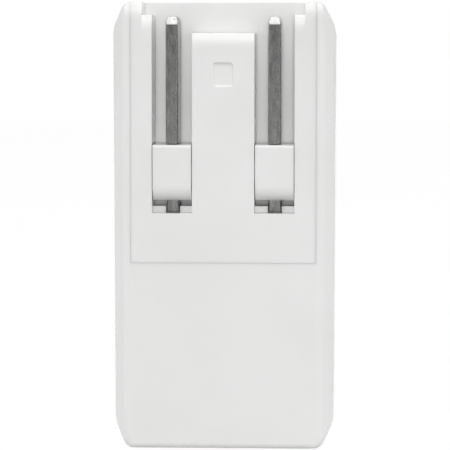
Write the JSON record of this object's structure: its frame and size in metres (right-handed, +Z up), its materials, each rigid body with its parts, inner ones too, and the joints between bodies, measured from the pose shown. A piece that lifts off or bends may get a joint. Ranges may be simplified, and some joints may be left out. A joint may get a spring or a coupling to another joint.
{
  "type": "usb wall charger",
  "caption": "White USB wall charger: flat box with faceted edges, blades folding up into channels in its wall face, an open recess for slide-on adapters, and USB sockets in the far end.",
  "frame": {"origin": "centre of the bottom end, which the charger stands on", "axes": "+Z up along the wall face, wall face and prongs towards -Y, USB sockets towards +Y, X across the thickness"},
  "size_m": [0.0278, 0.056, 0.0555],
  "materials": {
    "case_white": "glossy white moulded polycarbonate",
    "panel_white": "satin white moulded polycarbonate",
    "blade_metal": "nickel plated, slightly mottled",
    "contact_bronze": "bare phosphor bronze",
    "spring_steel": "bright",
    "contact_gold": "gold flashed",
    "board_green": "solder resist",
    "component_black": "moulded",
    "component_blue": "dipped coating",
    "capacitor_can": "heat-shrunk sleeve",
    "tape_yellow": "polyester tape",
    "ferrite": "dull sintered",
    "bare_aluminium": "satin",
    "wire_red": "insulation"
  },
  "bodies": {
    "case": {"main_housing": "case_white", "prong_plate": "case_white", "port_panel": "panel_white", "prong_retainer": "panel_white", "contact_spring_left": "contact_bronze", "contact_spring_right": "contact_bronze", "detent_spring": "spring_steel", "retainer_screw_1": "spring_steel", "retainer_screw_2": "spring_steel", "main_board": "board_green", "usb_board": "board_green", "board_header": "component_black", "fuse": "panel_white", "line_filter_capacitor": "tape_yellow", "filter_choke": "ferrite", "bridge_rectifier": "component_black", "input_capacitor_1": "capacitor_can", "input_capacitor_2": "capacitor_can", "controller_chip": "component_black", "transformer_core": "ferrite", "transformer_bobbin": "component_black", "transformer_winding": "tape_yellow", "safety_capacitor": "component_blue", "output_capacitor_1": "bare_aluminium", "output_capacitor_2": "bare_aluminium", "output_rectifier": "component_black", "heat_spreader": "bare_aluminium", "usb_shell_upper": "blade_metal", "usb_shell_lower": "blade_metal", "usb_tongue_upper": "component_black", "usb_tongue_lower": "component_black", "input_wire_live": "wire_red", "input_wire_neutral": "component_black", "usb_contact_upper_1": "contact_gold", "usb_contact_upper_2": "contact_gold", "usb_contact_upper_3": "contact_gold", "usb_contact_upper_4": "contact_gold", "usb_contact_lower_1": "contact_gold", "usb_contact_lower_2": "contact_gold", "usb_contact_lower_3": "contact_gold", "usb_contact_lower_4": "contact_gold"},
    "prongs": {"prong_carrier": "case_white", "prong_left": "blade_metal", "prong_right": "blade_metal"}
  },
  "joints": [
    {"name": "prong_fold", "type": "hinge", "parent": "case", "child": "prongs", "pos_m": [0, -0.0245, 0.0344], "axis": [1, 0, 0], "range_deg": [0, 90]}
  ]
}
